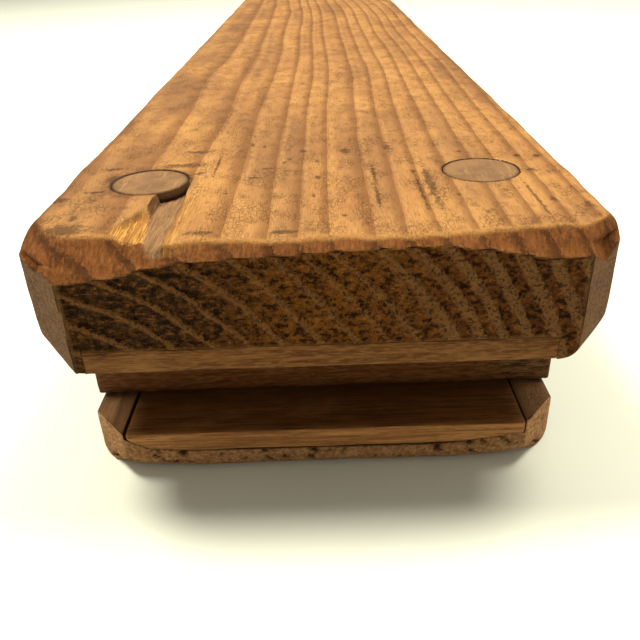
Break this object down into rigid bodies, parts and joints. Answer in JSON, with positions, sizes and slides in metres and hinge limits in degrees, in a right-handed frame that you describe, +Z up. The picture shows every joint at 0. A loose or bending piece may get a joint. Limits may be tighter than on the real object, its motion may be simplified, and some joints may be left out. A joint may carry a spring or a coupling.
{
  "type": "cigar mould",
  "caption": "Long wooden press mould: a thick upper board and a thin lower board with round cigar cells between them, kept in line by wooden dowels.",
  "frame": {"origin": "centre of the underside of the closed mould", "axes": "+X across the mould towards the open foot ends of the cells, +Y lengthwise towards the rear end, +Z up through the thick top half"},
  "size_m": [0.12, 0.56, 0.065],
  "materials": {
    "plank_softwood": "aged brown softwood with strong growth rings, worn smooth on the faces, rough on the end grain",
    "inlay_hardwood": "fine cross-grained hardwood, planed, darkened by use",
    "end_block_hardwood": "dark reddish brown hardwood, planed",
    "dowel_hardwood": "greyish reddish brown end grain, cut flush",
    "cell_hardwood": "smooth hardwood, stained dark by tobacco inside the cells"
  },
  "bodies": {
    "bottom_half": {"bottom_plank": "plank_softwood", "bottom_end_pad_front": "inlay_hardwood", "bottom_end_pad_rear": "inlay_hardwood", "bottom_cell_01": "cell_hardwood", "bottom_cell_02": "cell_hardwood", "bottom_cell_03": "cell_hardwood", "bottom_cell_04": "cell_hardwood", "bottom_cell_05": "cell_hardwood", "bottom_cell_06": "cell_hardwood", "bottom_cell_07": "cell_hardwood", "bottom_cell_08": "cell_hardwood", "bottom_cell_09": "cell_hardwood", "bottom_cell_10": "cell_hardwood", "bottom_cell_11": "cell_hardwood", "bottom_cell_12": "cell_hardwood", "bottom_cell_13": "cell_hardwood", "bottom_cell_14": "cell_hardwood", "bottom_cell_15": "cell_hardwood", "bottom_cell_16": "cell_hardwood", "bottom_cell_17": "cell_hardwood", "bottom_cell_18": "cell_hardwood", "bottom_cell_19": "cell_hardwood", "bottom_cell_20": "cell_hardwood"},
    "top_half": {"top_plank": "plank_softwood", "top_end_pad_front": "inlay_hardwood", "top_end_pad_rear": "inlay_hardwood", "end_block_front": "end_block_hardwood", "end_block_rear": "end_block_hardwood", "dowel_front_left": "dowel_hardwood", "dowel_front_right": "dowel_hardwood", "dowel_rear_left": "dowel_hardwood", "dowel_rear_right": "dowel_hardwood", "top_cell_01": "cell_hardwood", "top_cell_02": "cell_hardwood", "top_cell_03": "cell_hardwood", "top_cell_04": "cell_hardwood", "top_cell_05": "cell_hardwood", "top_cell_06": "cell_hardwood", "top_cell_07": "cell_hardwood", "top_cell_08": "cell_hardwood", "top_cell_09": "cell_hardwood", "top_cell_10": "cell_hardwood", "top_cell_11": "cell_hardwood", "top_cell_12": "cell_hardwood", "top_cell_13": "cell_hardwood", "top_cell_14": "cell_hardwood", "top_cell_15": "cell_hardwood", "top_cell_16": "cell_hardwood", "top_cell_17": "cell_hardwood", "top_cell_18": "cell_hardwood", "top_cell_19": "cell_hardwood", "top_cell_20": "cell_hardwood"}
  },
  "joints": [
    {"name": "lift", "type": "slide", "parent": "bottom_half", "child": "top_half", "axis": [0, 0, 1], "range_m": [0, 0.06]}
  ]
}
